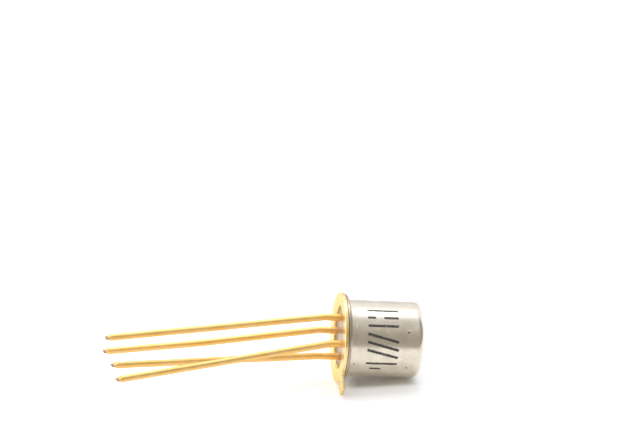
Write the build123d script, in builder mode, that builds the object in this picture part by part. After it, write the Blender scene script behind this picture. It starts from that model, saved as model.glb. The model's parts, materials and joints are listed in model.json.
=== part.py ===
from build123d import *
import os
from math import acos, asin, atan2, cos, hypot, radians, sin, tan

# Four-lead metal-can transistor: a drawn cap welded on a stamped header whose glass
# seal holds the leads. All heights run from the seat, the header's lead-side face,
# towards the top of the cap. Millimetres.

# Cap, drawn from one disc
can_radius = 2.35
can_height = 5.05
cap_wall = 0.27
shoulder_radius = 0.4
brim_radius = 2.72
brim_thickness = 0.2
brim_edge = 0.09  # rounded upper edge of the brim
brim_foot = 0.12  # hollow corner where the barrel meets the brim

# Header, stamped from one sheet
flange_radius = 2.775
flange_thickness = 0.23
die_roll = 0.05  # edge rounded by the punch
bore_radius = 1.93
eyelet_wall = 0.11
mouth_radius = 0.16
platform_top = 1.15
platform_thickness = 0.25
tab_width = 0.95
tab_reach = 3.725
tab_corner = 0.1

# Glass and leads
glass_recess = 0.24
meniscus = 0.05
lead_radius = 0.215
lead_circle_radius = 1.27
lead_length = 14.5
lead_hole_radius = 0.475
bend_radius = 2.0
late_bend_radius = 30.0
late_bend_start = 8.0
chisel_land = 0.14
chisel_taper = 0.2
chisel_flat = 0.08

# Chip and bonds on top of the platform
post_top = platform_top + 0.5
chip_tab_floor = platform_top + 0.3
chip_tab_width = 0.7
chip_tab_thickness = 0.12
chip_side = 0.45
chip_thickness = 0.15
bond_radius = 0.02
bond_loop = 0.3
bond_pad_offset = 0.12

# Lying at rest, the flange rim, the tab's lower corner and the cap's shoulder touch the
# floor. The roll is the turn of the tab from straight down, and the tilt lowers the cap.
corner_across = tab_width / 2 - tab_corner
corner_along = tab_reach - tab_corner
roll = acos((flange_radius - tab_corner) / hypot(corner_along, corner_across)) + atan2(
    corner_across, corner_along
)
shoulder_rise = flange_radius - (can_radius - shoulder_radius)
shoulder_run = can_height - shoulder_radius - flange_thickness
tilt = atan2(shoulder_rise, shoulder_run) - asin(
    shoulder_radius / hypot(shoulder_run, shoulder_rise)
)
seat_height = flange_radius * cos(tilt) + flange_thickness * sin(tilt)

up_the_can = Vector(cos(tilt), 0, -sin(tilt))
up_across = Vector(sin(tilt), 0, cos(tilt))
front = Vector(0, -1, 0)
up = Vector(0, 0, 1)
tab_way = front * sin(roll) - up_across * cos(roll)

# Seat plane: Z up the can, X out through the tab. Section plane: X up the can, Y out
# through the tab, for everything that is turned about the can's axis.
seat = Plane(origin=(0, 0, seat_height), x_dir=tab_way, z_dir=up_the_can)
section = Plane(origin=seat.origin, x_dir=seat.z_dir, z_dir=seat.y_dir)
can_axis = Axis(seat.origin, seat.z_dir)

inner_shoulder_radius = shoulder_radius - 0.6 * cap_wall
platform_floor = platform_top - platform_thickness
eyelet_radius = bore_radius + eyelet_wall
chip_floor = chip_tab_floor + chip_tab_thickness


def on_seat(radius, angle, height):
    """A point at this radius and this angle from the tab, this far up the can."""
    local = Vector(radius * cos(radians(angle)), radius * sin(radians(angle)), height)
    return seat.from_local_coords(local)


# The cap: brim, barrel and rounded shoulder in one skin
with BuildPart() as cap:
    with BuildSketch(section):
        with BuildLine():
            FilletPolyline(
                (can_height, 0),
                (can_height, can_radius),
                (flange_thickness + brim_thickness, can_radius),
                (flange_thickness + brim_thickness, brim_radius),
                (flange_thickness, brim_radius),
                (flange_thickness, can_radius - cap_wall),
                (can_height - cap_wall, can_radius - cap_wall),
                (can_height - cap_wall, 0),
                radius=[shoulder_radius, brim_foot, brim_edge, 0, 0, inner_shoulder_radius],
            )
            Line((can_height - cap_wall, 0), (can_height, 0))
        make_face()
    revolve(axis=can_axis)

# The header: flange and index tab blanked together, the eyelet drawn up out of them
with BuildPart() as header_eyelet:
    with BuildSketch(seat) as header_outline:
        Circle(flange_radius)
        with Locations((tab_reach / 2, 0)):
            Rectangle(tab_reach, tab_width)
        fillet(header_outline.vertices(), radius=tab_corner)
    extrude(amount=flange_thickness)
    lead_side = header_eyelet.faces().sort_by(can_axis)[0]
    chamfer(lead_side.outer_wire().edges(), length=die_roll)
    with BuildSketch(section):
        with BuildLine():
            FilletPolyline(
                (0.5 * flange_thickness, 0),
                (0.5 * flange_thickness, eyelet_radius),
                (platform_top, eyelet_radius),
                (platform_top, 0),
                radius=[0, eyelet_wall],
            )
            Line((platform_top, 0), (0.5 * flange_thickness, 0))
        make_face()
    revolve(axis=can_axis)
    with BuildSketch(section):
        with BuildLine():
            Polyline((platform_floor, 0), (platform_floor, bore_radius), (mouth_radius, bore_radius))
            RadiusArc((mouth_radius, bore_radius), (0, bore_radius + mouth_radius), mouth_radius)
            Polyline((0, bore_radius + mouth_radius), (0, 0), (platform_floor, 0))
        make_face()
    revolve(axis=can_axis, mode=Mode.SUBTRACT)
    with BuildSketch(seat.offset(platform_floor)):
        with PolarLocations(lead_circle_radius, 3, 45, 180, endpoint=True):
            Circle(lead_hole_radius)
    extrude(amount=platform_thickness, mode=Mode.SUBTRACT)

# The glass: one slug that fills the eyelet and the three clearance holes
with BuildPart() as glass_seal:
    with BuildSketch(section):
        with BuildLine():
            Polyline(
                (glass_recess, 0),
                (platform_floor, 0),
                (platform_floor, bore_radius),
                (glass_recess - meniscus, bore_radius),
                (glass_recess, bore_radius - 3 * meniscus),
                close=True,
            )
        make_face()
    revolve(axis=can_axis)
    with BuildSketch(seat.offset(platform_floor)):
        with PolarLocations(lead_circle_radius, 3, 45, 180, endpoint=True):
            Circle(lead_hole_radius)
    extrude(amount=platform_thickness)
    with BuildSketch(seat):
        with PolarLocations(lead_circle_radius, 4, start_angle=45):
            Circle(lead_radius)
    extrude(amount=platform_top, mode=Mode.SUBTRACT)

# The leads stand at 45, 135, 225 and 315 degrees from the tab. Each runs straight out of
# the glass and turns sideways in one bend; two of them ease a little half way along. Angles
# are in degrees, and sideways directions are counted from the tab as the positions are.
leads = {
    "emitter_lead": dict(angle=45, top=post_top, straight=0.95, bend=12.5, sideways=-45.7, ease=1.1),
    "base_lead": dict(angle=135, top=post_top, straight=0.85, bend=8.6, sideways=6.5, ease=-1.5),
    "collector_lead": dict(angle=225, top=chip_tab_floor, straight=0.8, bend=7.3, sideways=20.2, ease=0),
    "case_lead": dict(angle=315, top=platform_floor, straight=0.35, bend=15.8, sideways=-21.2, ease=0),
}


def lead_corners(top, straight, bend, ease):
    """Corners of a lead's centre line: X sideways, Y up the can, its length kept."""
    turn = radians(bend)
    late_turn = radians(ease)
    bend_corner = bend_radius * tan(turn / 2)
    late_corner = late_bend_radius * tan(abs(late_turn) / 2)
    first_run = late_bend_start - straight - bend_radius * turn + bend_corner + late_corner
    last_run = lead_length - late_bend_start - late_bend_radius * abs(late_turn) + late_corner
    elbow = Vector(0, -straight - bend_corner)
    knee = elbow + Vector(sin(turn), -cos(turn)) * first_run
    tip = knee + Vector(sin(turn + late_turn), -cos(turn + late_turn)) * last_run
    corners = [Vector(0, top), elbow, knee, tip] if ease else [Vector(0, top), elbow, tip]
    return [(corner.X, corner.Y) for corner in corners]


lead_parts = {}
for name, lead in leads.items():
    entry = on_seat(lead_circle_radius, lead["angle"], 0)
    sideways = on_seat(1, lead["sideways"], 0) - seat.origin
    bend_plane = Plane(origin=entry, x_dir=sideways, z_dir=sideways.cross(seat.z_dir))
    with BuildPart() as round_lead:
        with BuildLine(bend_plane) as route:
            corners = lead_corners(lead["top"], lead["straight"], lead["bend"], lead["ease"])
            FilletPolyline(*corners, radius=[bend_radius, late_bend_radius][: len(corners) - 2])
        with BuildSketch(Plane(origin=route.line @ 0, z_dir=route.line % 0)):
            Circle(lead_radius)
        sweep(path=route.line)
        # the cutter's jaws close from above and below, and leave a blunt chisel
        lead_way = route.line % 1
        jaw_plane = Plane(origin=route.line @ 1, x_dir=lead_way, z_dir=lead_way.cross(up))
        with BuildSketch(jaw_plane):
            with BuildLine():
                Polyline(
                    (chisel_taper, chisel_flat / 2),
                    (-chisel_land, chisel_flat / 2),
                    (-chisel_land - 2 * chisel_taper, 2 * lead_radius - chisel_flat / 2),
                    (chisel_taper, 2 * lead_radius - chisel_flat / 2),
                    close=True,
                )
            make_face()
            mirror(about=Plane.XZ)
        extrude(amount=2 * lead_radius, both=True, mode=Mode.SUBTRACT)
    lead_parts[name] = round_lead

# The chip sits on a strip welded over the collector post, clear of the platform
with BuildPart() as chip_tab:
    with BuildSketch(seat.offset(chip_tab_floor)):
        with PolarLocations(lead_circle_radius / 2, 1, start_angle=leads["collector_lead"]["angle"]):
            SlotCenterToCenter(lead_circle_radius, chip_tab_width)
    extrude(amount=chip_tab_thickness)

with BuildPart() as transistor_chip:
    with BuildSketch(seat.offset(chip_floor)):
        Rectangle(chip_side, chip_side)
    extrude(amount=chip_thickness)

# Two fine wires loop from the top of the chip to the tops of the posts
bond_parts = {}
for name, post in {"emitter_bond_wire": "emitter_lead", "base_bond_wire": "base_lead"}.items():
    outwards = on_seat(1, leads[post]["angle"], 0) - seat.origin
    bond_plane = Plane(origin=seat.origin, x_dir=outwards, z_dir=outwards.cross(seat.z_dir))
    chip_top = chip_floor + chip_thickness
    with BuildPart() as bond_wire:
        with BuildLine(bond_plane) as loop:
            Polyline(
                (bond_pad_offset, chip_top),
                (bond_pad_offset, chip_top + 0.6 * bond_loop),
                (bond_pad_offset + 0.8 * bond_loop, chip_top + bond_loop),
                (lead_circle_radius - 0.8 * bond_loop, chip_top + bond_loop),
                (lead_circle_radius, chip_top + 0.6 * bond_loop),
                (lead_circle_radius, post_top),
            )
        with BuildSketch(Plane(origin=loop.line @ 0, z_dir=loop.line % 0)):
            Circle(bond_radius)
        sweep(path=loop.line, transition=Transition.RIGHT)
    bond_parts[name] = bond_wire

pieces = {
    "cap": cap,
    "header_eyelet": header_eyelet,
    "glass_seal": glass_seal,
    **lead_parts,
    "chip_tab": chip_tab,
    "transistor_chip": transistor_chip,
    **bond_parts,
}

# The part stands on the floor with its origin under the middle of its bounding box
box = Compound([piece.part for piece in pieces.values()]).bounding_box()
to_origin = Location((-box.center().X, -box.center().Y, -box.min.Z))

os.makedirs("parts", exist_ok=True)
for name, piece in pieces.items():
    placed = piece.part.moved(to_origin)
    placed.label = name
    export_step(placed, f"parts/{name}.step")
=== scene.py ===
import json
from math import atan2, cos, exp, hypot, pi, radians, sin, sqrt, tan

import bmesh
import bpy
from mathutils import Matrix, Vector
from mathutils.geometry import delaunay_2d_cdt


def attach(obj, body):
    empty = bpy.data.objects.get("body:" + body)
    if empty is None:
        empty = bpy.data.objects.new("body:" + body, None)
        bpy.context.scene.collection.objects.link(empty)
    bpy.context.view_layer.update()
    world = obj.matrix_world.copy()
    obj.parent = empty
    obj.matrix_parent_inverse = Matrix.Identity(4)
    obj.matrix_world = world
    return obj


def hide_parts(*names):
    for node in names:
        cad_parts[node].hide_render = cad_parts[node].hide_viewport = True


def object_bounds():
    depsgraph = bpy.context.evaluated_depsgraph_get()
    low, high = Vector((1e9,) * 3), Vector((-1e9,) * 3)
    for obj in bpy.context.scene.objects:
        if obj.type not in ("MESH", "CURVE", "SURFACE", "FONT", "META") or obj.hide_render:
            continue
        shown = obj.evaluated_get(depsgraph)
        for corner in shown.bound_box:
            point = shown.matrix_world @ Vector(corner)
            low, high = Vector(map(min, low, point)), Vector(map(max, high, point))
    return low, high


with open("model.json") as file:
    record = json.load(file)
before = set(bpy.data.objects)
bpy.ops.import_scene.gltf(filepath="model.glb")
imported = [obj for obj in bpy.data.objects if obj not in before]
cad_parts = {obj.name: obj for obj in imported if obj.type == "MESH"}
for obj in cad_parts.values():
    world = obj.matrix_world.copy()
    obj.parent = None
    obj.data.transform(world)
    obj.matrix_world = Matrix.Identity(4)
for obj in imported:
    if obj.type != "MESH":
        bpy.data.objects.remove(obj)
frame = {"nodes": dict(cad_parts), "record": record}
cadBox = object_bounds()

print("frame loaded,", len(frame["nodes"]), "nodes")

# Everything is drawn in millimetres about the seat: Z runs up the can from the header's
# lead-side face, X runs out through the tab. seatFrame puts that into the frame's metres.
mm = 0.001
mounts = {mount["name"]: mount for mount in frame["record"]["mounts"]}
upTheCan = Vector(mounts["cap_barrel"]["axis"])
barrelMiddle = Vector(mounts["cap_barrel"]["pos_m"])
rimSpot = Vector(mounts["seat_face"]["pos_m"])  # on the flange, opposite the tab
seatCentre = barrelMiddle + upTheCan * (rimSpot - barrelMiddle).dot(upTheCan)
tabWay = (seatCentre - rimSpot).normalized()
seatAxes = Matrix((tabWay, upTheCan.cross(tabWay), upTheCan)).transposed()
seatFrame = Matrix.Translation(seatCentre) @ seatAxes.to_4x4() @ Matrix.Scale(mm, 4)


# Node helpers


def addNode(tree, kind, inputs=None, **settings):
    # inputs maps a socket's name or number to a value, or to another node's output
    node = tree.nodes.new(kind)
    for name, value in settings.items():
        setattr(node, name, value)
    for key, value in (inputs or {}).items():
        if isinstance(value, bpy.types.NodeSocket):
            tree.links.new(value, node.inputs[key])
        else:
            node.inputs[key].default_value = value
    return node


def shaderNode(tree, kind, inputs=None, **settings):
    return addNode(tree, "ShaderNode" + kind, inputs, **settings).outputs


def calc(tree, operation, *values):
    inputs = dict(enumerate(values))
    return shaderNode(tree, "Math", inputs, operation=operation)[0]


def times(tree, first, second):
    return calc(tree, "MULTIPLY", first, second)


def minus(tree, first, second):
    return calc(tree, "SUBTRACT", first, second)


def apart(tree, first, second):
    return calc(tree, "ABSOLUTE", minus(tree, first, second))


def vectorCalc(tree, operation, *values):
    outputs = shaderNode(tree, "VectorMath", dict(enumerate(values)), operation=operation)
    return outputs["Value" if operation in ("DISTANCE", "DOT_PRODUCT", "LENGTH") else "Vector"]


def stretched(tree, vector, amount):
    inputs = {0: vector, "Scale": amount}
    return shaderNode(tree, "VectorMath", inputs, operation="SCALE")[0]


def turned(tree, inputs):
    return shaderNode(tree, "VectorRotate", inputs, rotation_type="Z_AXIS")[0]


def split(tree, vector):
    return shaderNode(tree, "SeparateXYZ", {0: vector})


def ramp(tree, value, low, high, toLow=0.0, toHigh=1.0):
    # a smooth step from low to high
    inputs = {"Value": value, "From Min": low, "From Max": high, "To Min": toLow, "To Max": toHigh}
    return shaderNode(tree, "MapRange", inputs, interpolation_type="SMOOTHSTEP")[0]


def mixColour(tree, factor, first, second):
    inputs = {0: factor, 6: first, 7: second}
    return shaderNode(tree, "Mix", inputs, data_type="RGBA")[2]


def mixValue(tree, factor, first, second):
    inputs = {0: factor, 2: first, 3: second}
    return shaderNode(tree, "Mix", inputs, data_type="FLOAT")[0]


def noise(tree, vector, scale, detail=3.0, roughness=0.5):
    inputs = {"Vector": vector, "Scale": scale, "Detail": detail, "Roughness": roughness}
    return shaderNode(tree, "TexNoise", inputs)


def seededNoise(tree, vector, seed, size, detail):
    scale = calc(tree, "DIVIDE", 1.0, size)
    inputs = {"Vector": vector, "W": seed, "Scale": scale, "Detail": detail}
    return shaderNode(tree, "TexNoise", inputs, noise_dimensions="4D")


def newTree(name, kind, inputs, output):
    # an input is given by its default, or by the kind of its socket where it has none
    kinds = {float: "Float", int: "Int", tuple: "Vector"}
    tree = bpy.data.node_groups.new(name, kind)
    for label, value in inputs.items():
        socket = "NodeSocket" + kinds.get(type(value), value if isinstance(value, str) else "")
        made = tree.interface.new_socket(label, in_out="INPUT", socket_type=socket)
        if not isinstance(value, str):
            made.default_value = value
    label, socket = output
    tree.interface.new_socket(label, in_out="OUTPUT", socket_type="NodeSocket" + socket)
    given = tree.nodes.new("NodeGroupInput").outputs
    return tree, given, tree.nodes.new("NodeGroupOutput").inputs


def useGroup(tree, group, inputs):
    return shaderNode(tree, "Group", inputs, node_tree=group)[0]


# Shared effects over a surface. Their vectors and sizes are in millimetres.

effects = {
    "mottle": (5.0, 0.62),  # detail and roughness
    "softDetail": 2.0,
    "wobbleScale": 14.0,
    "wobble": 0.06,
    "smallest": 0.4,
    "core": 0.5,
    "rubDetail": 4.0,
    "rubFull": 0.6,
}


def mottleGroup():
    inputs = {"Vector": "Vector", "Size": 1.0, "Low": 0.35, "High": 0.65}
    tree, given, out = newTree("mottle", "ShaderNodeTree", inputs, ("Mask", "Float"))
    scale = calc(tree, "DIVIDE", 1.0, given["Size"])
    cloud = noise(tree, given["Vector"], scale, *effects["mottle"])[0]
    tree.links.new(ramp(tree, cloud, given["Low"], given["High"]), out["Mask"])
    return tree


def grainGroup():
    # plating grain: fine crystals over a slow orange peel
    inputs = {"Vector": "Vector", "Stretch": (1.0, 1.0, 1.0), "Fine": 0.05, "Coarse": 0.3}
    inputs["Coarse Share"] = 0.5
    tree, given, out = newTree("platingGrain", "ShaderNodeTree", inputs, ("Height", "Float"))
    along = vectorCalc(tree, "MULTIPLY", given["Vector"], given["Stretch"])
    fine = noise(tree, along, calc(tree, "DIVIDE", 1.0, given["Fine"]))[0]
    peelScale = calc(tree, "DIVIDE", 1.0, given["Coarse"])
    peel = noise(tree, along, peelScale, effects["softDetail"])[0]
    tree.links.new(mixValue(tree, given["Coarse Share"], fine, peel), out["Height"])
    return tree


def specksGroup():
    # scattered round specks: pits, dust or splashes
    inputs = {"Vector": "Vector", "Spacing": 0.4, "Share": 0.3, "Radius": 0.1}
    tree, given, out = newTree("specks", "ShaderNodeTree", inputs, ("Mask", "Float"))
    wobble = noise(tree, given["Vector"], effects["wobbleScale"], effects["softDetail"])
    wobble = stretched(tree, wobble["Color"], effects["wobble"])
    bent = vectorCalc(tree, "ADD", given["Vector"], wobble)
    scale = calc(tree, "DIVIDE", 1.0, given["Spacing"])
    cells = shaderNode(tree, "TexVoronoi", {"Vector": bent, "Scale": scale})
    lot = shaderNode(tree, "SeparateColor", {0: cells["Color"]})
    chosen = calc(tree, "LESS_THAN", lot["Red"], given["Share"])
    size = calc(tree, "ADD", effects["smallest"], lot["Green"])
    reach = times(tree, given["Radius"], size)
    core = times(tree, reach, effects["core"])
    inside = ramp(tree, cells["Distance"], core, reach, 1.0, 0.0)
    tree.links.new(times(tree, chosen, inside), out["Mask"])
    return tree


def edgeRubGroup():
    # where handling has rubbed an edge bright, broken up by noise
    inputs = {"Vector": "Vector", "Edge": 0.0, "Breakup": 0.5, "Size": 0.25}
    tree, given, out = newTree("edgeRub", "ShaderNodeTree", inputs, ("Mask", "Float"))
    scale = calc(tree, "DIVIDE", 1.0, given["Size"])
    patches = noise(tree, given["Vector"], scale, effects["rubDetail"])[0]
    left = minus(tree, given["Edge"], times(tree, patches, given["Breakup"]))
    tree.links.new(ramp(tree, left, 0.0, effects["rubFull"]), out["Mask"])
    return tree


mottle = mottleGroup()
platingGrain = grainGroup()
specks = specksGroup()
edgeRub = edgeRubGroup()


# Material helpers. A finish holds what blotches, speckled, rubbing and grained take as
# tuples, in the order of their arguments.


def newMaterial(name, **sockets):
    material = bpy.data.materials.new(name)
    material.use_nodes = True
    tree = material.node_tree
    tree.nodes.clear()
    shader = addNode(tree, "ShaderNodeBsdfPrincipled", sockets)
    addNode(tree, "ShaderNodeOutputMaterial", {"Surface": shader.outputs[0]})
    return material, tree, shader


def feed(tree, shader, **outputs):
    # links each output to the shader's socket of that name, with a space for each underscore
    for socket, output in outputs.items():
        tree.links.new(output, shader.inputs[socket.replace("_", " ")])


def seatVector(tree):
    # Object coordinates turned to the seat and scaled to millimetres
    where = shaderNode(tree, "TexCoord")["Object"]
    inputs = {"Vector": where, "Location": seatCentre, "Rotation": seatAxes.to_euler()}
    inputs["Scale"] = (mm, mm, mm)
    return shaderNode(tree, "Mapping", inputs, vector_type="TEXTURE")[0]


def blotches(tree, vector, size, low, high):
    return useGroup(tree, mottle, {"Vector": vector, "Size": size, "Low": low, "High": high})


def speckled(tree, vector, spacing, share, radius):
    inputs = {"Vector": vector, "Spacing": spacing, "Share": share, "Radius": radius}
    return useGroup(tree, specks, inputs)


def rubbing(tree, vector, attribute, breakup, size):
    edge = shaderNode(tree, "Attribute", attribute_name=attribute)["Fac"]
    inputs = {"Vector": vector, "Edge": edge, "Breakup": breakup, "Size": size}
    return useGroup(tree, edgeRub, inputs)


def grained(tree, vector, fine, coarse, share, stretch=(1.0, 1.0, 1.0)):
    inputs = {"Vector": vector, "Stretch": stretch, "Fine": fine, "Coarse": coarse}
    return useGroup(tree, platingGrain, inputs | {"Coarse Share": share})


def bump(tree, height, distance):
    inputs = {"Height": height, "Distance": distance * mm}
    return shaderNode(tree, "Bump", inputs)[0]


# Mesh helpers


def arcPoints(centre, radius, start, end, steps):
    # points on an arc in a plane, angles in degrees, both ends included
    angles = [radians(start + (end - start) * i / steps) for i in range(steps + 1)]
    return [(centre[0] + radius * cos(a), centre[1] + radius * sin(a)) for a in angles]


def newObject(name, data):
    made = bpy.data.objects.new(name, data)
    bpy.context.scene.collection.objects.link(made)
    return made


def linkPiece(name, mesh, node):
    # the mesh is drawn in seat millimetres, and becomes a piece in the frame's metres
    mesh.transform(seatFrame)
    sketch = bmesh.new()
    sketch.from_mesh(mesh)
    if sketch.calc_volume(signed=True) < 0:
        bmesh.ops.reverse_faces(sketch, faces=sketch.faces)
    sketch.to_mesh(mesh)
    sketch.free()
    mesh.name = name
    piece = newObject(name, mesh)
    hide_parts(node)
    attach(piece, "root")
    print(name, len(mesh.polygons), "faces")


def grown(name, startMesh, tree, values):
    # runs a Geometry Nodes tree on a starting mesh and keeps the plain result
    holder = newObject(name, startMesh)
    modifier = holder.modifiers.new("grow", "NODES")
    modifier.node_group = tree
    for item in tree.interface.items_tree:
        if item.item_type == "SOCKET" and item.in_out == "INPUT" and item.name in values:
            modifier[item.identifier] = values[item.name]
    graph = bpy.context.evaluated_depsgraph_get()
    mesh = bpy.data.meshes.new_from_object(holder.evaluated_get(graph))
    holder.modifiers.remove(modifier)
    bpy.data.objects.remove(holder)
    return mesh


def lineMesh(name, points, **pointValues):
    # an open chain of points, with a value at each point for every name given
    mesh = bpy.data.meshes.new(name)
    mesh.from_pydata(points, [(i, i + 1) for i in range(len(points) - 1)], [])
    for label, values in pointValues.items():
        mesh.attributes.new(label, "FLOAT", "POINT").data.foreach_set("value", values)
    return mesh


def geoNode(tree, kind, inputs=None, **settings):
    return addNode(tree, "GeometryNode" + kind, inputs, **settings).outputs[0]


def storedValue(tree, name):
    return geoNode(tree, "InputNamedAttribute", {"Name": name}, data_type="FLOAT")


def storeValue(tree, geometry, name, value):
    inputs = {"Geometry": geometry, "Name": name, "Value": value}
    return geoNode(tree, "StoreNamedAttribute", inputs, data_type="FLOAT", domain="POINT")


def finishTree(tree, geometry, finish, out):
    smooth = geoNode(tree, "SetShadeSmooth", {"Geometry": geometry})
    real = geoNode(tree, "RealizeInstances", {0: smooth})
    done = geoNode(tree, "SetMaterial", {"Geometry": real, "Material": finish})
    tree.links.new(done, out)


# The cap

capSizes = {
    "radius": mounts["cap_barrel"]["dims"]["r_mm"],
    "height": 5.05,
    "wall": 0.27,
    "shoulder": 0.4,
    "innerShoulder": 0.238,
    "brimRadius": 2.72,
    "brimFloor": 0.23,
    "brimThickness": 0.2,
    "brimEdge": 0.09,
    "brimFoot": 0.12,
    "brimUnder": 0.045,
    "flare": 0.015,
    "flareRise": 0.25,
    "topSteps": 24,
    "topKept": 20,
    "rowStep": 0.1,
    "floorSteps": 4,
    "wallSteps": 12,
    "roofSteps": 8,
    "shoulderArc": (16, 0.6),  # steps, and how much of an edge it is
    "footArc": (8, 0.15),
    "brimArc": (8, 0.2),
    "underArc": (6, 0.3),
    "innerArc": (8, 0.0),
    "turns": 288,
    "seam": 1e-5,
    "dentDepth": 0.012,
    "dentSize": 1.7,
    "seed": 4.0,
}

capFinish = {
    "plating": (0.85, 0.775, 0.645, 1.0),
    "dull": (0.76, 0.69, 0.57, 1.0),
    "bright": (0.95, 0.9, 0.8, 1.0),
    "pit": (0.12, 0.11, 0.095, 1.0),
    "scuff": (1.0, 0.97, 0.9, 1.0),
    "mottle": (0.9, 0.38, 0.62),
    "rub": (0.5, 0.2),
    "roughness": (0.19, 0.27),
    "brightRoughness": 0.14,
    "grain": (0.045, 0.32, 0.6),
    "grainHeight": 0.0016,
    "pits": (0.5, 0.22, 0.09),
    "pitStain": 0.75,
    "pitDepth": 3.0,
}

# Plain bars and dashes printed round the barrel. Arcs run down from the line that faces
# the front; each mark is (arc, height, width, length) in mm and a slant in degrees
inkMarks = {
    "colour": (0.066, 0.061, 0.058, 1.0),
    "roughness": 0.5,
    "front": -62.0,
    "bars": (
        (-1.95, 2.45, 0.14, 1.9, 0.0),
        (-1.4, 2.95, 0.16, 0.9, 0.0),
        (-1.4, 1.75, 0.16, 0.5, 0.0),
        (-0.85, 2.45, 0.16, 1.9, 0.0),
        (-0.1, 2.45, 0.17, 2.0, 14.0),
        (0.4, 2.45, 0.17, 2.0, 14.0),
        (0.9, 2.45, 0.17, 2.0, 14.0),
        (1.6, 2.45, 0.16, 1.9, 0.0),
        (2.05, 2.1, 0.15, 0.7, 0.0),
    ),
    "blur": 0.022,
    "ragged": 0.07,
    "raggedScale": 12.0,
    "worn": (0.11, 0.3, 0.44),
}

# Knocks on the barrel, placed as the ink is: (arc, height, arc reach, height reach) in mm
knocks = {
    "dark": ((-0.49, 4.02, 0.055, 0.085), (1.9, 4.05, 0.08, 0.05), (1.7, 0.75, 0.05, 0.07)),
    "light": (
        (-0.62, 4.08, 0.03, 0.2),
        (-0.55, 2.67, 0.05, 0.06),
        (0.0, 3.96, 0.05, 0.05),
        (0.2, 0.94, 0.04, 0.05),
        (-0.85, 0.78, 0.2, 0.03),
        (-0.4, 0.9, 0.04, 0.04),
    ),
    "raggedScale": 9.0,
    "edge": (0.9, 1.7),
}

# The weld's heat leaves the brim brown from start to full, out from the can's axis
weldTint = {
    "colour": (0.42, 0.30, 0.19, 1.0),
    "roughness": 0.4,
    "start": 2.43,
    "full": 2.58,
    "share": 0.8,
    "patches": (0.6, 0.3, 0.6),
    "thinnest": 0.6,
}

# Painted shade in the joint between the flange and the brim
paintedJointShade = {
    "colour": (0.26, 0.15, 0.07, 1.0),
    "core": 0.008,
    "reach": 0.045,
    "patches": (0.5, 0.3, 0.6),
    "thinnest": 0.6,
}


def radial(tree, vector):
    # distance from the can's axis
    return vectorCalc(tree, "LENGTH", vectorCalc(tree, "MULTIPLY", vector, (1.0, 1.0, 0.0)))


def patchy(tree, vector, mask, look):
    # thins a mask in patches
    patches = blotches(tree, vector, *look["patches"])
    return times(tree, mask, mixValue(tree, patches, look["thinnest"], 1.0))


def paintedSeamShade(tree, vector):
    # painted shade, darkest where the flange meets the brim
    away = apart(tree, split(tree, vector)["Z"], headerSizes["thickness"])
    near = ramp(tree, away, paintedJointShade["core"], paintedJointShade["reach"], 1.0, 0.0)
    return patchy(tree, vector, near, paintedJointShade)


def weldHeat(tree, vector):
    look = weldTint
    heated = ramp(tree, radial(tree, vector), look["start"], look["full"], 0.0, look["share"])
    return patchy(tree, vector, heated, look)


def barrelPlace(tree, vector):
    # arc round the barrel and height up the can, in mm
    facing = turned(tree, {"Vector": vector, "Angle": radians(-inkMarks["front"])})
    place = split(tree, facing)
    arc = times(tree, calc(tree, "ARCTAN2", place["Y"], place["X"]), capSizes["radius"])
    return arc, place["Z"]


def inkMask(tree, vector):
    arc, rise = barrelPlace(tree, vector)
    spot = shaderNode(tree, "CombineXYZ", {"X": arc, "Y": rise})[0]
    nearest = 1.0
    for barArc, barHeight, width, length, slant in inkMarks["bars"]:
        centre = (barArc, barHeight, 0.0)
        level = turned(tree, {"Vector": spot, "Center": centre, "Angle": radians(slant)})
        place = split(tree, level)
        across = minus(tree, apart(tree, place["X"], barArc), width / 2)
        along = minus(tree, apart(tree, place["Y"], barHeight), length / 2)
        nearest = calc(tree, "MINIMUM", nearest, calc(tree, "MAXIMUM", across, along))
    ragged = noise(tree, vector, inkMarks["raggedScale"])[0]
    loose = times(tree, minus(tree, ragged, 0.5), inkMarks["ragged"])
    edge, blur = calc(tree, "ADD", nearest, loose), inkMarks["blur"]
    printed = ramp(tree, edge, -blur, blur, 1.0, 0.0)
    worn = blotches(tree, vector, *inkMarks["worn"])
    skin = capSizes["radius"] - 0.5 * capSizes["wall"]
    outside = calc(tree, "GREATER_THAN", radial(tree, vector), skin)
    return times(tree, times(tree, printed, worn), outside)


def knockMask(tree, vector, marks):
    arc, rise = barrelPlace(tree, vector)
    wobble = noise(tree, vector, knocks["raggedScale"])[0]
    total = 0.0
    for markArc, markHeight, arcReach, heightReach in marks:
        across = calc(tree, "DIVIDE", minus(tree, arc, markArc), arcReach)
        along = calc(tree, "DIVIDE", minus(tree, rise, markHeight), heightReach)
        acrossSquare = times(tree, across, across)
        reach = calc(tree, "ADD", acrossSquare, times(tree, along, along))
        knock = ramp(tree, calc(tree, "ADD", reach, wobble), *knocks["edge"], 1.0, 0.0)
        total = calc(tree, "MAXIMUM", total, knock)
    return total


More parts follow.
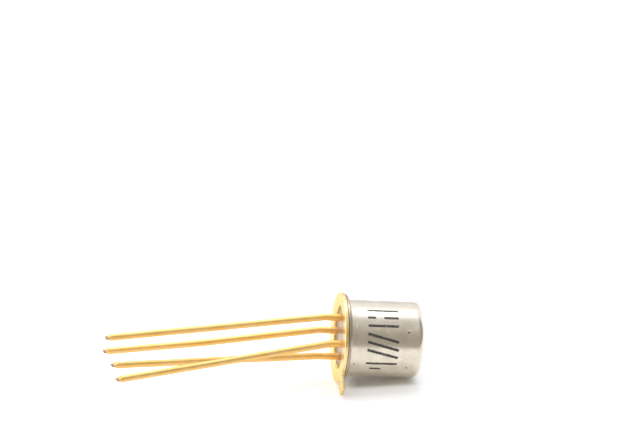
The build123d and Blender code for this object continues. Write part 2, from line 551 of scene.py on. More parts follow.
def platedCapMaterial():
    look = capFinish
    material, tree, shader = newMaterial("platedCap", Metallic=1.0)
    vector = seatVector(tree)
    cloudy = blotches(tree, vector, *look["mottle"])
    pitted = speckled(tree, vector, *look["pits"])
    rubbed = rubbing(tree, vector, "edge", *look["rub"])
    ink, heated = inkMask(tree, vector), weldHeat(tree, vector)
    layers = (
        (rubbed, look["bright"]),
        (times(tree, pitted, look["pitStain"]), look["pit"]),
        (knockMask(tree, vector, knocks["light"]), look["scuff"]),
        (knockMask(tree, vector, knocks["dark"]), look["pit"]),
        (ink, inkMarks["colour"]),
        (heated, weldTint["colour"]),
        # painted shade in the joint by the flange
        (paintedSeamShade(tree, vector), paintedJointShade["colour"]),
    )
    colour = mixColour(tree, cloudy, look["plating"], look["dull"])
    for mask, layer in layers:
        colour = mixColour(tree, mask, colour, layer)
    rough = mixValue(tree, cloudy, *look["roughness"])
    rough = mixValue(tree, rubbed, rough, look["brightRoughness"])
    rough = mixValue(tree, heated, rough, weldTint["roughness"])
    rough = mixValue(tree, ink, rough, inkMarks["roughness"])
    depth = times(tree, pitted, look["pitDepth"])
    height = minus(tree, grained(tree, vector, *look["grain"]), depth)
    metal = minus(tree, 1.0, ink)
    feed(tree, shader, Base_Color=colour, Roughness=rough, Metallic=metal)
    feed(tree, shader, Normal=bump(tree, height, look["grainHeight"]))
    return material


def capSection():
    # (radius, height, how much of an edge it is), from the top's middle round to the inside
    size = capSizes
    radius, top, shoulder = size["radius"], size["height"], size["shoulder"]
    foot, brim, brimRadius = size["brimFoot"], size["brimEdge"], size["brimRadius"]
    under, floor = size["brimUnder"], size["brimFloor"]
    brimTop = floor + size["brimThickness"]
    inner, innerTop, innerCorner = radius - size["wall"], top - size["wall"], size["innerShoulder"]
    section = [(radius * i / size["topSteps"], top, 0.0) for i in range(size["topKept"])]

    def addArc(centre, reach, start, end, steps, wear):
        section.extend((r, h, wear) for r, h in arcPoints(centre, reach, start, end, steps))

    steps, wear = size["shoulderArc"]
    arc = arcPoints((radius - shoulder, top - shoulder), shoulder, 90, 0, steps)
    section += [(r, h, wear * sin(pi * i / steps)) for i, (r, h) in enumerate(arc)]
    barrel = top - shoulder - brimTop - foot
    rows = round(barrel / size["rowStep"])
    step = barrel / rows
    for i in range(1, rows):
        height = top - shoulder - i * step
        flare = size["flare"] * exp(-(height - brimTop - foot) / size["flareRise"])
        section.append((radius + flare, height, 0.0))
    flare, (steps, wear) = size["flare"], size["footArc"]
    arc = arcPoints((radius + foot, brimTop + foot), foot, 180, 270, steps)
    section += [(r + flare * (1 - i / steps), h, wear) for i, (r, h) in enumerate(arc)]
    addArc((brimRadius - brim, brimTop - brim), brim, 90, 0, *size["brimArc"])
    addArc((brimRadius - under, floor + under), under, 0, -90, *size["underArc"])
    steps, width = size["floorSteps"], brimRadius - inner
    section += [(inner + width * i / steps, floor, 0.0) for i in reversed(range(steps))]
    steps, rise = size["wallSteps"], innerTop - innerCorner - floor
    section += [(inner, floor + rise * i / steps, 0.0) for i in range(1, steps)]
    steps, roof = size["roofSteps"], inner - innerCorner
    addArc((roof, innerTop - innerCorner), innerCorner, 0, 90, *size["innerArc"])
    section += [(roof * i / steps, innerTop, 0.0) for i in reversed(range(steps))]
    return section


def turnedShellTree():
    inputs = {"Section": "Geometry", "Turns": 288, "Dent Depth": 0.01, "Dent Size": 1.5}
    inputs |= {"Seed": 4.0, "Finish": "Material"}
    output = ("Shell", "Geometry")
    tree, given, out = newTree("turnedShell", "GeometryNodeTree", inputs, output)
    section = given["Section"]
    rows = geoNode(tree, "AttributeDomainSize", {0: section})
    counts = {"Vertices X": calc(tree, "ADD", given["Turns"], 1), "Vertices Y": rows}
    grid = geoNode(tree, "MeshGrid", counts)
    # each column of the grid is the section once more, turned a step further
    index = geoNode(tree, "InputIndex")
    where = geoNode(tree, "InputPosition")
    row = calc(tree, "MODULO", index, rows)
    column = calc(tree, "FLOOR", calc(tree, "DIVIDE", index, rows))
    angle = times(tree, calc(tree, "DIVIDE", column, given["Turns"]), 2 * pi)
    source = {0: section, 1: where, 2: row}
    spot = geoNode(tree, "SampleIndex", source, data_type="FLOAT_VECTOR")
    source[1] = storedValue(tree, "edge")
    edge = geoNode(tree, "SampleIndex", source, data_type="FLOAT")
    place = turned(tree, {"Vector": spot, "Angle": angle})
    shell = geoNode(tree, "SetPosition", {"Geometry": grid, "Position": place})
    seams = {"Geometry": storeValue(tree, shell, "edge", edge), "Distance": capSizes["seam"]}
    closed = geoNode(tree, "MergeByDistance", seams)
    # shallow dents push the skin along its normal
    dent = seededNoise(tree, where, given["Seed"], given["Dent Size"], detail=1.0)[0]
    dent = times(tree, minus(tree, dent, 0.5), given["Dent Depth"])
    normal = geoNode(tree, "InputNormal")
    pushed = {"Geometry": closed, "Offset": stretched(tree, normal, dent)}
    dented = geoNode(tree, "SetPosition", pushed)
    finishTree(tree, dented, given["Finish"], out["Shell"])
    return tree


def makeCap():
    section = capSection()
    edges = [edge for *_, edge in section]
    chain = lineMesh("capSection", [(r, 0.0, h) for r, h, _ in section], edge=edges)
    values = {
        "Turns": capSizes["turns"],
        "Dent Depth": capSizes["dentDepth"],
        "Dent Size": capSizes["dentSize"],
        "Seed": capSizes["seed"],
        "Finish": platedCap,
    }
    cap = grown("drawnCap", chain, turnedShellTree(), values)
    linkPiece("drawnCap", cap, "cap")


# The leads

leadSizes = {
    "radius": mounts["case_lead_end"]["dims"]["r_mm"],
    "bendRadius": 2.0,
    "lateBendRadius": 30.0,
    "lateBendStart": 8.0,
    "length": 14.5,
    "step": 0.05,
    "sides": 36,
    "bendSteps": 16,
    "chiselFlat": 0.08,
    "chiselLand": 0.14,
    "chiselTaper": 0.2,
    "shearedReach": 0.3,
    "wander": 0.018,
    "wanderSize": 3.2,
    "wanderStart": 2.5,
    "wanderFull": 5.0,
    "seedStep": 3.7,
}

# Where each lead stands from the tab, where it starts inside, and how it turns, in degrees
leadRoutes = {
    "emitter_lead": dict(angle=45, top=1.65, straight=0.95, bend=12.5, sideways=-45.7, ease=1.1),
    "base_lead": dict(angle=135, top=1.65, straight=0.85, bend=8.6, sideways=6.5, ease=-1.5),
    "collector_lead": dict(angle=225, top=1.45, straight=0.8, bend=7.3, sideways=20.2, ease=0),
    "case_lead": dict(angle=315, top=0.9, straight=0.35, bend=15.8, sideways=-21.2, ease=0),
}

leadFinish = {
    "gold": (1.0, 0.65, 0.22, 1.0),
    "pale": (1.0, 0.71, 0.31, 1.0),
    "rubbed": (0.50, 0.30, 0.19, 1.0),  # the bare core, at the sheared tip
    "grazing": (1.0, 1.0, 0.97, 1.0),
    "tarnish": (0.8, 0.44, 0.12, 1.0),
    "tarnishShare": 0.4,
    "mottle": (0.8, 0.35, 0.65),
    "stain": (0.28, 0.6, 0.75),
    "rub": (0.4, 0.08),
    "roughness": (0.5, 0.57),
    "rubbedRoughness": 0.5,
    "joined": False,
    # stretched, as die lines from wire drawing run along the lead
    "grain": (0.045, 0.3, 0.35, (1.0, 1.0, 0.06)),
    "grainHeight": 0.0016,
}


def giltMaterial(name, look, attribute):
    # tarnished gilding, rubbed where the attribute says
    material, tree, shader = newMaterial(name, Metallic=1.0)
    shader.inputs["Specular Tint"].default_value = look["grazing"]
    vector = seatVector(tree)
    cloudy = blotches(tree, vector, *look["mottle"])
    stained = times(tree, blotches(tree, vector, *look["stain"]), look["tarnishShare"])
    rubbed = rubbing(tree, vector, attribute, *look["rub"])
    colour = mixColour(tree, cloudy, look["gold"], look["pale"])
    colour = mixColour(tree, stained, colour, look["tarnish"])
    colour = mixColour(tree, rubbed, colour, look["rubbed"])
    rough = mixValue(tree, cloudy, *look["roughness"])
    if "rubbedRoughness" in look:
        rough = mixValue(tree, rubbed, rough, look["rubbedRoughness"])
    if look["joined"]:
        # painted shade in the joint with the cap
        colour = mixColour(tree, paintedSeamShade(tree, vector), colour, paintedJointShade["colour"])
    height = grained(tree, vector, *look["grain"])
    feed(tree, shader, Base_Color=colour, Roughness=rough)
    feed(tree, shader, Normal=bump(tree, height, look["grainHeight"]))
    return material


def bentWireTree():
    inputs = {"Route": "Geometry", "Wire Radius": 0.2, "Sides": 32, "Step": 0.05}
    inputs |= {"Jaw Way": (0.0, 1.0, 0.0), "Chisel Flat": 0.1, "Chisel Land": 0.1}
    inputs |= {"Chisel Slope": 1.0, "Wander": 0.0, "Wander Size": 3.0, "Seed": 0.0}
    inputs["Finish"] = "Material"
    tree, given, out = newTree("bentWire", "GeometryNodeTree", inputs, ("Wire", "Geometry"))
    curve = geoNode(tree, "MeshToCurve", {"Mesh": given["Route"]})
    bends = {"Curve": curve, "Count": leadSizes["bendSteps"]}
    bends["Radius"] = storedValue(tree, "bendRadius")
    rounded = geoNode(tree, "FilletCurve", bends, mode="POLY")
    spaced = {"Curve": rounded, "Length": given["Step"]}
    even = geoNode(tree, "ResampleCurve", spaced, mode="LENGTH")
    along = addNode(tree, "GeometryNodeSplineParameter").outputs["Length"]
    whole = geoNode(tree, "SplineLength")
    # a hand-straightened lead wanders a little once it is out of the glass
    where = geoNode(tree, "InputPosition")
    drift = seededNoise(tree, where, given["Seed"], given["Wander Size"], detail=0.0)["Color"]
    drift = vectorCalc(tree, "SUBTRACT", drift, (0.5, 0.5, 0.5))
    free = ramp(tree, along, leadSizes["wanderStart"], leadSizes["wanderFull"])
    drift = stretched(tree, drift, times(tree, free, given["Wander"]))
    wandered = geoNode(tree, "SetPosition", {"Geometry": even, "Offset": drift})
    keep = addNode(tree, "GeometryNodeCaptureAttribute", domain="POINT")
    keep.capture_items.new("VECTOR", "Centre")
    keep.capture_items.new("FLOAT", "Left")
    tree.links.new(wandered, keep.inputs["Geometry"])
    tree.links.new(where, keep.inputs["Centre"])
    tree.links.new(minus(tree, whole, along), keep.inputs["Left"])
    ring = {"Resolution": given["Sides"], "Radius": given["Wire Radius"]}
    profile = geoNode(tree, "CurvePrimitiveCircle", ring, mode="RADIUS")
    swept = {"Curve": keep.outputs["Geometry"], "Profile Curve": profile, "Fill Caps": True}
    wire = geoNode(tree, "CurveToMesh", swept)
    # the cutter's jaws close on the end along Jaw Way
    left, jawWay = keep.outputs["Left"], given["Jaw Way"]
    fromCentre = vectorCalc(tree, "SUBTRACT", where, keep.outputs["Centre"])
    rise = vectorCalc(tree, "DOT_PRODUCT", fromCentre, jawWay)
    beyond = calc(tree, "MAXIMUM", minus(tree, left, given["Chisel Land"]), 0.0)
    opening = times(tree, beyond, given["Chisel Slope"])
    half = calc(tree, "ADD", times(tree, given["Chisel Flat"], 0.5), opening)
    lowest = times(tree, half, -1.0)
    pinched = calc(tree, "MAXIMUM", calc(tree, "MINIMUM", rise, half), lowest)
    pinch = stretched(tree, jawWay, minus(tree, pinched, rise))
    cut = geoNode(tree, "SetPosition", {"Geometry": wire, "Offset": pinch})
    tip = ramp(tree, left, 0.0, leadSizes["shearedReach"], 1.0, 0.0)
    finishTree(tree, storeValue(tree, cut, "tip", tip), given["Finish"], out["Wire"])
    return tree


def leadRoute(lead):
    # corners of the lead's centre line in the seat, the bend radius at each, and the jaws' way
    bendRadius, lateRadius = leadSizes["bendRadius"], leadSizes["lateBendRadius"]
    straight, lateStart = lead["straight"], leadSizes["lateBendStart"]
    turn, late = radians(lead["bend"]), radians(lead["ease"])
    bendCorner = bendRadius * tan(turn / 2)
    lateCorner = lateRadius * tan(abs(late) / 2)
    firstRun = lateStart - straight - bendRadius * turn + bendCorner + lateCorner
    lastRun = leadSizes["length"] - lateStart - lateRadius * abs(late) + lateCorner
    elbow = Vector((0.0, -straight - bendCorner))
    knee = elbow + firstRun * Vector((sin(turn), -cos(turn)))
    tip = knee + lastRun * Vector((sin(turn + late), -cos(turn + late)))
    corners, bends = [Vector((0.0, lead["top"])), elbow], [0.0, bendRadius]
    if late:
        corners.append(knee)
        bends.append(lateRadius)
    corners.append(tip)
    bends.append(0.0)
    angle, sideways = radians(lead["angle"]), radians(lead["sideways"])
    start = Vector((cos(angle), sin(angle), 0.0)) * headerSizes["leadCircle"]
    across = Vector((cos(sideways), sin(sideways), 0.0))
    corners = [start + across * c.x + Vector((0, 0, c.y)) for c in corners]
    # the cutter's jaws close from above and below, square to the lead
    leadWay = (corners[-1] - corners[-2]).normalized()
    roomUp = seatAxes.transposed() @ Vector((0, 0, 1))
    return corners, bends, (roomUp - leadWay * roomUp.dot(leadWay)).normalized()


def makeLeads():
    size, tree = leadSizes, bentWireTree()
    for number, (node, lead) in enumerate(leadRoutes.items()):
        corners, bends, jawWay = leadRoute(lead)
        values = {
            "Wire Radius": size["radius"],
            "Sides": size["sides"],
            "Step": size["step"],
            "Jaw Way": jawWay,
            "Chisel Flat": size["chiselFlat"],
            "Chisel Land": size["chiselLand"],
            "Chisel Slope": (size["radius"] - size["chiselFlat"] / 2) / size["chiselTaper"],
            "Wander": size["wander"],
            "Wander Size": size["wanderSize"],
            "Seed": size["seedStep"] * number,
            "Finish": giltLead,
        }
        name = node.split("_")[0] + "Lead"
        route = lineMesh(name + "Route", corners, bendRadius=bends)
        linkPiece(name, grown(name, route, tree, values), node)


# The header and the glass, drawn ring by ring

sketching = {"samePoint": 1e-6, "insideHole": 0.99}

headerSizes = {
    "flangeRadius": 2.775,
    "thickness": 0.23,
    "dieRoll": 0.05,
    "burr": 0.035,
    "boreRadius": 1.93,
    "mouth": 0.16,
    "eyeletRadius": 2.04,
    "eyeletCorner": 0.11,
    "platformFloor": 0.9,
    "platformTop": 1.15,
    "tabHalfWidth": 0.475,
    "tabReach": 3.725,
    "tabCorner": 0.1,
    "leadCircle": 1.27,
    "holeRadius": 0.475,
    "holeAngles": (45, 135, 225),
    "holeSteps": 48,
    "rimSteps": 240,
    "cornerSteps": 8,
    "boreSteps": 8,
    "longStep": 0.12,
    "tabStep": 0.09,
    "shares": (0.3, 0.6, 0.85),
    "eyeletArc": (8, 0.0),  # steps, and how much of an edge it is
    "burrArc": (4, 0.6),
    "rollArc": (6, 0.7),
    "mouthArc": (10, 0.35),
    "sideWear": 0.3,
}

giltFinish = {
    "gold": (1.0, 0.725, 0.29, 1.0),
    "pale": (1.0, 0.82, 0.46, 1.0),
    "rubbed": (1.0, 0.84, 0.5, 1.0),
    "grazing": (1.0, 0.93, 0.68, 1.0),
    "tarnish": (0.62, 0.36, 0.10, 1.0),
    "tarnishShare": 0.35,
    "mottle": (0.7, 0.35, 0.65),
    "stain": (0.35, 0.6, 0.74),
    "rub": (0.6, 0.15),
    "roughness": (0.2, 0.32),
    "joined": True,  # to the cap, with painted shade in the joint
    "grain": (0.05, 0.4, 0.5),
    "grainHeight": 0.0015,
}

glassSizes = {
    "recess": 0.24,
    "meniscus": 0.05,
    "creep": 0.09,
    "mesh": 0.085,
    "clear": 0.04,
    "ripple": 0.006,
    "waves": (2.3, 1.9, 1.0),
    "boreSteps": 160,
    "leadSteps": 40,
}

glassFinish = {
    "deep": (0.40, 0.26, 0.20, 1.0),
    "milky": (0.50, 0.36, 0.30, 1.0),
    "bubble": (0.86, 0.74, 0.68, 1.0),
    "bubbles": (0.18, 0.35, 0.2),
    "bubbleShare": 0.5,
    "mottle": (0.5, 0.35, 0.65),
    "roughness": (0.1, 0.18),
    "refraction": 1.52,
    "height": 0.003,
}


def sealingGlassMaterial():
    look = glassFinish
    material, tree, shader = newMaterial("sealingGlass", IOR=look["refraction"])
    vector = seatVector(tree)
    cloudy = blotches(tree, vector, *look["mottle"])
    bubbles = speckled(tree, vector, *look["bubbles"])
    seen = times(tree, bubbles, look["bubbleShare"])
    colour = mixColour(tree, cloudy, look["deep"], look["milky"])
    colour = mixColour(tree, seen, colour, look["bubble"])
    rough = mixValue(tree, cloudy, *look["roughness"])
    feed(tree, shader, Base_Color=colour, Roughness=rough)
    feed(tree, shader, Normal=bump(tree, calc(tree, "ADD", bubbles, cloudy), look["height"]))
    return material


def addRing(sketch, points):
    return [sketch.verts.new(p) for p in points]


def circlePoints(radius, height, steps, centre=(0.0, 0.0)):
    turns = [2 * pi * i / steps for i in range(steps)]
    return [(centre[0] + radius * cos(t), centre[1] + radius * sin(t), height) for t in turns]


def holeRing(sketch, height, spot):
    size = headerSizes
    return addRing(sketch, circlePoints(size["holeRadius"], height, size["holeSteps"], spot))


def onLeadCircle(angle):
    turn = radians(angle)
    return headerSizes["leadCircle"] * cos(turn), headerSizes["leadCircle"] * sin(turn)


def bridge(sketch, first, second):
    count = len(first)
    for i in range(count):
        j = (i + 1) % count
        sketch.faces.new((first[i], first[j], second[j], second[i]))


def plate(sketch, outer, holes, inner=()):
    # fills a ring of vertices, leaves the holes open, and carries loose vertices inside it
    rings = [outer, *holes]
    vertices = [v for ring in rings for v in ring] + list(inner)
    edges, start = [], 0
    for ring in rings:
        edges += [(start + i, start + (i + 1) % len(ring)) for i in range(len(ring))]
        start += len(ring)
    flat = [Vector((v.co.x, v.co.y)) for v in vertices]
    _, _, faces, origin, _, _ = delaunay_2d_cdt(flat, edges, [], 0, sketching["samePoint"])
    centres = [sum((v.co for v in ring), Vector()) / len(ring) for ring in holes]
    reaches = [(ring[0].co - centre).xy.length for ring, centre in zip(holes, centres)]
    reaches = [reach * sketching["insideHole"] for reach in reaches]
    for face in faces:
        corners = [vertices[origin[i][0]] for i in face]
        middle = sum((v.co for v in corners), Vector()) / len(corners)
        if all((middle - centre).xy.length > reach for centre, reach in zip(centres, reaches)):
            sketch.faces.new(corners)


def finishSketch(sketch, name, material, node):
    bmesh.ops.recalc_face_normals(sketch, faces=sketch.faces)
    for face in sketch.faces:
        face.smooth = True
    mesh = bpy.data.meshes.new(name)
    sketch.to_mesh(mesh)
    sketch.free()
    mesh.materials.append(material)
    linkPiece(name, mesh, node)


def headerOutline():
    # (point, outward normal) round the flange and its tab
    size = headerSizes
    radius, half, corner = size["flangeRadius"], size["tabHalfWidth"], size["tabCorner"]
    inset, steps = size["tabReach"] - corner, size["cornerSteps"]
    rootX = sqrt((radius + corner) ** 2 - (half + corner) ** 2)
    rootAngle = atan2(half + corner, rootX) * 180 / pi
    arcs = [
        ((0, 0), radius, rootAngle, 360 - rootAngle, size["rimSteps"]),
        ((rootX, -half - corner), -corner, 180 - rootAngle, 90, steps),
        ((inset, corner - half), corner, -90, 0, steps),
        ((inset, half - corner), corner, 0, 90, steps),
        ((rootX, half + corner), -corner, 270, 180 + rootAngle, steps),
    ]
    outline = []
    for centre, bend, start, end, count in arcs:
        for i in range(count + 1):
            angle = radians(start + (end - start) * i / count)
            way = Vector((cos(angle), sin(angle)))
            outline.append((Vector(centre) + abs(bend) * way, way if bend > 0 else -way))
    # the tab's straight edges get points of their own
    spaced = []
    for (point, normal), (after, _) in zip(outline, outline[1:] + outline[:1]):
        length = (after - point).length
        parts = int(length / size["tabStep"]) + 1 if length > size["longStep"] else 1
        spaced += [(point.lerp(after, k / parts), normal) for k in range(parts)]
    gaps = [(pair[0] - spaced[i - 1][0]).length for i, pair in enumerate(spaced)]
    return [pair for pair, gap in zip(spaced, gaps) if gap > sketching["samePoint"]]


def headerRings():
    # (points, how much of an edge they are), from the platform's top round to its underside
    size, outline = headerSizes, headerOutline()
    ways = [point.normalized() for point, _ in outline]
    thick, roll, burr, bore = size["thickness"], size["dieRoll"], size["burr"], size["boreRadius"]
    mouth, corner, eyelet = size["mouth"], size["eyeletCorner"], size["eyeletRadius"]
    rings = []

    def wheel(radius, height, edge=0.0):
        rings.append(([(w.x * radius, w.y * radius, height) for w in ways], edge))

    def rim(inset, height, edge=0.0):
        rings.append(([(p.x - n.x * inset, p.y - n.y * inset, height) for p, n in outline], edge))

    def between(radius, inset, height, share):
        spots = [(w * radius).lerp(p - n * inset, share) for w, (p, n) in zip(ways, outline)]
        rings.append(([(spot.x, spot.y, height) for spot in spots], 0.0))

    def addArc(draw, centre, reach, start, end, steps, edge):
        for across, height in arcPoints(centre, reach, start, end, steps):
            draw(across, height, edge)

    addArc(wheel, (bore, size["platformTop"] - corner), corner, 90, 0, *size["eyeletArc"])
    wheel(eyelet, thick)
    for share in size["shares"]:
        between(eyelet, burr, thick, share)
    addArc(rim, (burr, thick - burr), burr, 90, 180, *size["burrArc"])
    rim(0.0, 0.5 * thick, size["sideWear"])
    addArc(rim, (roll, roll), roll, 180, 270, *size["rollArc"])
    for share in reversed(size["shares"]):
        between(bore + mouth, roll, 0.0, share)
    addArc(wheel, (bore + mouth, mouth), mouth, 270, 180, *size["mouthArc"])
    rise, steps = size["platformFloor"] - mouth, size["boreSteps"]
    for i in range(1, steps + 1):
        wheel(bore, mouth + rise * i / steps)
    return rings


def makeHeader():
    size, sketch = headerSizes, bmesh.new()
    edgeLayer = sketch.verts.layers.float.new("edge")
    made = []
    for points, edge in headerRings():
        made.append(addRing(sketch, points))
        for vertex in made[-1]:
            vertex[edgeLayer] = edge
    for first, second in zip(made, made[1:]):
        bridge(sketch, first, second)
    holeRings = []
    for height, outer in ((size["platformTop"], made[0]), (size["platformFloor"], made[-1])):
        holes = [holeRing(sketch, height, onLeadCircle(angle)) for angle in size["holeAngles"]]
        plate(sketch, outer, holes)
        holeRings.append(holes)
    for top, floor in zip(*holeRings):
        bridge(sketch, top, floor)
    finishSketch(sketch, "stampedHeader", giltHeader, "header_eyelet")


def makeGlass():
    size, header, wire = glassSizes, headerSizes, leadSizes["radius"]
    bore, floor, top = header["boreRadius"], header["platformFloor"], header["platformTop"]
    leadSpots = [onLeadCircle(lead["angle"]) for lead in leadRoutes.values()]
    waveX, waveY, waveStart = size["waves"]
    sketch = bmesh.new()

    def faceHeight(x, y):
        # the glass creeps up the bore and the leads
        spaces = [bore - hypot(x, y)] + [hypot(x - cx, y - cy) - wire for cx, cy in leadSpots]
        creep = sum(exp(-max(space, 0.0) / size["creep"]) for space in spaces)
        ripple = size["ripple"] * sin(waveX * x + waveStart) * cos(waveY * y)
        return size["recess"] - size["meniscus"] * creep + ripple

    def faceRing(radius, steps, spot=(0.0, 0.0)):
        circle = circlePoints(radius, 0.0, steps, spot)
        return addRing(sketch, [(x, y, faceHeight(x, y)) for x, y, _ in circle])

    def wireRing(height, spot):
        return addRing(sketch, circlePoints(wire, height, size["leadSteps"], spot))

    outer = faceRing(bore, size["boreSteps"])
    leadRings = [faceRing(wire, size["leadSteps"], spot) for spot in leadSpots]
    loose = []
    across = int(bore / size["mesh"])
    for i in range(-across, across + 1):
        for j in range(-across, across + 1):
            x, y = (i + 0.5 * (j % 2)) * size["mesh"], j * size["mesh"]
            nearest = min(hypot(x - cx, y - cy) for cx, cy in leadSpots)
            if nearest > wire + size["clear"] and hypot(x, y) < bore - size["clear"]:
                loose.append(sketch.verts.new((x, y, faceHeight(x, y))))
    plate(sketch, outer, leadRings, loose)
    floorRing = addRing(sketch, circlePoints(bore, floor, size["boreSteps"]))
    bridge(sketch, outer, floorRing)
    plugs = [holeRing(sketch, floor, spot) for spot in leadSpots[:3]]
    lastLead = wireRing(floor, leadSpots[3])
    plate(sketch, floorRing, [*plugs, lastLead])
    bridge(sketch, leadRings[3], lastLead)
    for spot, plug, leadRing in zip(leadSpots, plugs, leadRings):
        plugTop = holeRing(sketch, top, spot)
        bridge(sketch, plug, plugTop)
        leadTop = wireRing(top, spot)
        plate(sketch, plugTop, [leadTop])
        bridge(sketch, leadRing, leadTop)
    finishSketch(sketch, "glassSeal", sealingGlass, "glass_seal")


# The chip and its bonds, inside the sealed can

siliconFinish = {
    "dark": (0.2, 0.2, 0.24, 1.0),
    "pale": (0.32, 0.31, 0.36, 1.0),
    "metallic": 0.6,
    "mottle": (0.12, 0.4, 0.6),
    "roughness": (0.08, 0.2),
}

bondWireFinish = {
    "dark": (1.0, 0.74, 0.32, 1.0),
    "pale": (1.0, 0.82, 0.45, 1.0),
    "metallic": 1.0,
    "mottle": (0.1, 0.4, 0.6),
    "roughness": (0.15, 0.3),
}


def cloudyMaterial(name, look):
    material, tree, shader = newMaterial(name, Metallic=look["metallic"])
    cloudy = blotches(tree, seatVector(tree), *look["mottle"])
    colour = mixColour(tree, cloudy, look["dark"], look["pale"])
    rough = mixValue(tree, cloudy, *look["roughness"])
    feed(tree, shader, Base_Color=colour, Roughness=rough)
    return material


# The floor, the light and the camera

floorLook = {
    "back": 0.4,
    "front": 0.03,
    "side": 0.3,
    "white": (0.94, 0.94, 0.935, 1.0),
    "cloudyWhite": (0.9259, 0.9259, 0.920975, 1.0),
    "cloudScale": 60.0,
    "cloudDetail": 2.0,
    "roughness": 0.5,
    "lift": 0.36,  # what the camera sees on top of the light, near the can and far from it
    "farLift": 1.0,
    "shadowEnd": 0.006,
    "shine": 0.26,  # painted light that reflections see on top, in the open, and less of it under the can as painted shadow
    "shadowPaintShine": 0.08,
}

# The strip of floor under the can that gets a painted shadow, in metres from its middle
paintedShadowStrip = {"half": 0.0016, "blur": 0.0004, "reach": 0.0027, "fade": 0.0013}

# How bright the room is each way, and between which directions each part of it begins
room = {
    "wall": 1.0,
    "near": 0.41,
    "roof": 0.72,
    "nearEdge": (-0.88, -0.45),
    "bright": 1.1,
    "brightEdge": (-0.25, 0.1),
    "low": 0.85,
    "lowEdge": (0.82, 0.94),
    "leadEnd": 1.6,
    "leadEndEdge": (-0.4, -0.75),
    "capEnd": 0.36,
    "capEndEdge": (0.3, 0.6),
    "capEndFront": (0.3, -0.05),
    "softShare": 0.72,
    "nearTint": (1.03, 0.98, 0.9, 1.0),
    "backTint": (0.98, 1.0, 1.06, 1.0),
    "tintEdge": (-0.9, 0.1),
}

# The way to the lamp from the part, its reach and size in metres and its power in watts
softbox = {"way": (0.0, 0.29, 0.96), "reach": 0.3, "size": (0.16, 0.14), "power": 0.26}

# Lens and sensor in mm, clipping in metres, yaw and pitch in degrees, and the seat's place
# before the camera in mm
viewpoint = {
    "lens": 168.75,
    "sensor": 36.0,
    "clip": (0.01, 10.0),
    "yaw": 8.196,
    "pitch": 20.822,
    "distance": 184.8,
    "right": 1.088,
    "down": 7.58,
}


def paintedShadowUnderCan(tree, vector):
    # mask of the painted contact shadow: a strip under the can, faded at its ends
    place = split(tree, vector)
    across = apart(tree, place["Y"], barrelMiddle.y)
    along = apart(tree, place["X"], barrelMiddle.x)
    half, blur, reach = paintedShadowStrip["half"], paintedShadowStrip["blur"], paintedShadowStrip["reach"]
    strip = ramp(tree, across, half - blur, half + blur, 1.0, 0.0)
    ends = ramp(tree, along, reach - paintedShadowStrip["fade"], reach, 1.0, 0.0)
    return times(tree, strip, ends)


def paleFloorMaterial(height):
    look = floorLook
    material, tree, shader = newMaterial("paleFloor", Roughness=look["roughness"])
    vector = shaderNode(tree, "TexCoord")["Object"]
    cloudy = noise(tree, vector, look["cloudScale"], look["cloudDetail"])[0]
    rays = shaderNode(tree, "LightPath")
    # under the can a painted shadow takes away the camera's lift and most of the reflections'
    # shine
    shadowPaint = paintedShadowUnderCan(tree, vector)
    shine = mixValue(tree, shadowPaint, look["shine"], look["shadowPaintShine"])
    shine = times(tree, rays["Is Glossy Ray"], shine)
    # further from the can, past its shadow, painted light lifts the floor to clear white and hides
    # the leads' shadows
    away = vectorCalc(tree, "DISTANCE", vector, (barrelMiddle.x, barrelMiddle.y, height))
    start = look["shadowEnd"]
    seen = ramp(tree, away, start, 2 * start, look["lift"], look["farLift"])
    seen = mixValue(tree, shadowPaint, seen, 0.0)
    lift = mixValue(tree, rays["Is Camera Ray"], shine, seen)
    shader.inputs["Emission Color"].default_value = (1.0, 1.0, 1.0, 1.0)
    colour = mixColour(tree, cloudy, look["white"], look["cloudyWhite"])
    feed(tree, shader, Base_Color=colour, Emission_Strength=lift)
    return material


def makeFloor():
    low = cadBox[0].z
    side, back, front = floorLook["side"], floorLook["back"], floorLook["front"]
    corners = [(-side, -front, low), (side, -front, low), (side, back, low), (-side, back, low)]
    mesh = bpy.data.meshes.new("floor")
    mesh.from_pydata(corners, [], [(0, 1, 2, 3)])
    mesh.materials.append(paleFloorMaterial(low))
    newObject("floor", mesh)


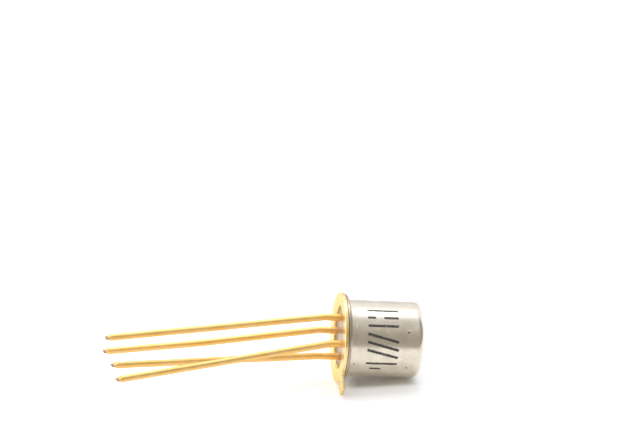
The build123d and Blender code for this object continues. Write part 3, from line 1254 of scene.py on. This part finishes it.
def makeWorld():
    # white to the eye, and for reflections a pale room that is darker on the near side
    world = bpy.data.worlds.new("paleRoom")
    bpy.context.scene.world = world
    world.use_nodes = True
    tree = world.node_tree
    tree.nodes.clear()
    parts = split(tree, shaderNode(tree, "TexCoord")["Generated"])
    light = ramp(tree, parts["Y"], *room["nearEdge"], room["near"], room["roof"])
    for axis, part in (("Y", "bright"), ("Y", "low"), ("X", "leadEnd")):
        shift = ramp(tree, parts[axis], *room[part + "Edge"])
        light = mixValue(tree, shift, light, room[part])
    end = ramp(tree, parts["X"], *room["capEndEdge"])
    dim = times(tree, end, ramp(tree, parts["Y"], *room["capEndFront"]))
    light = mixValue(tree, dim, light, room["capEnd"])
    rays = shaderNode(tree, "LightPath")
    light = times(tree, light, mixValue(tree, rays["Is Glossy Ray"], room["softShare"], 1.0))
    strength = mixValue(tree, rays["Is Camera Ray"], light, room["wall"])
    side = ramp(tree, parts["Y"], *room["tintEdge"])
    tint = mixColour(tree, side, room["nearTint"], room["backTint"])
    tint = mixColour(tree, rays["Is Camera Ray"], tint, (1.0, 1.0, 1.0, 1.0))
    background = addNode(tree, "ShaderNodeBackground", {"Color": tint, "Strength": strength})
    addNode(tree, "ShaderNodeOutputWorld", {"Surface": background.outputs[0]})


def makeSoftbox():
    light = bpy.data.lights.new("roofSoftbox", "AREA")
    light.shape = "RECTANGLE"
    light.size, light.size_y = softbox["size"]
    light.energy = softbox["power"]
    lamp = newObject("roofSoftbox", light)
    way = Vector(softbox["way"]).normalized()
    lamp.location = seatCentre + way * softbox["reach"]
    lamp.rotation_euler = way.to_track_quat("Z", "Y").to_euler()


def makeCamera():
    # the camera looks along +Y, turned by yaw and lowered by pitch, past the seat's middle
    yaw, pitch = radians(viewpoint["yaw"]), radians(viewpoint["pitch"])
    forward = Vector((sin(yaw) * cos(pitch), cos(yaw) * cos(pitch), -sin(pitch)))
    right = Vector((cos(yaw), -sin(yaw), 0.0))
    down = forward.cross(right)
    data = bpy.data.cameras.new("camera")
    data.lens, data.sensor_width = viewpoint["lens"], viewpoint["sensor"]
    data.clip_start, data.clip_end = viewpoint["clip"]
    camera = newObject("camera", data)
    offset = right * viewpoint["right"] + down * viewpoint["down"]
    offset += forward * viewpoint["distance"]
    axes = Matrix((right, -down, -forward)).transposed().to_4x4()
    camera.matrix_world = Matrix.Translation(seatCentre - offset * mm) @ axes
    bpy.context.scene.camera = camera


platedCap = platedCapMaterial()
giltHeader = giltMaterial("giltHeader", giltFinish, "edge")
giltLead = giltMaterial("giltLead", leadFinish, "tip")
sealingGlass = sealingGlassMaterial()
silicon = cloudyMaterial("silicon", siliconFinish)
bondWire = cloudyMaterial("bondWire", bondWireFinish)
print("materials made")

makeCap()
makeLeads()
makeHeader()
makeGlass()
for node, finish in (
    ("chip_tab", giltHeader),
    ("transistor_chip", silicon),
    ("emitter_bond_wire", bondWire),
    ("base_bond_wire", bondWire),
):
    # these stay as the frame has them
    slots = frame["nodes"][node].data.materials
    slots.clear()
    slots.append(finish)
print("pieces made")

makeFloor()
makeWorld()
makeSoftbox()
makeCamera()
bpy.context.scene.view_settings.view_transform = "Standard"
print("stage set")
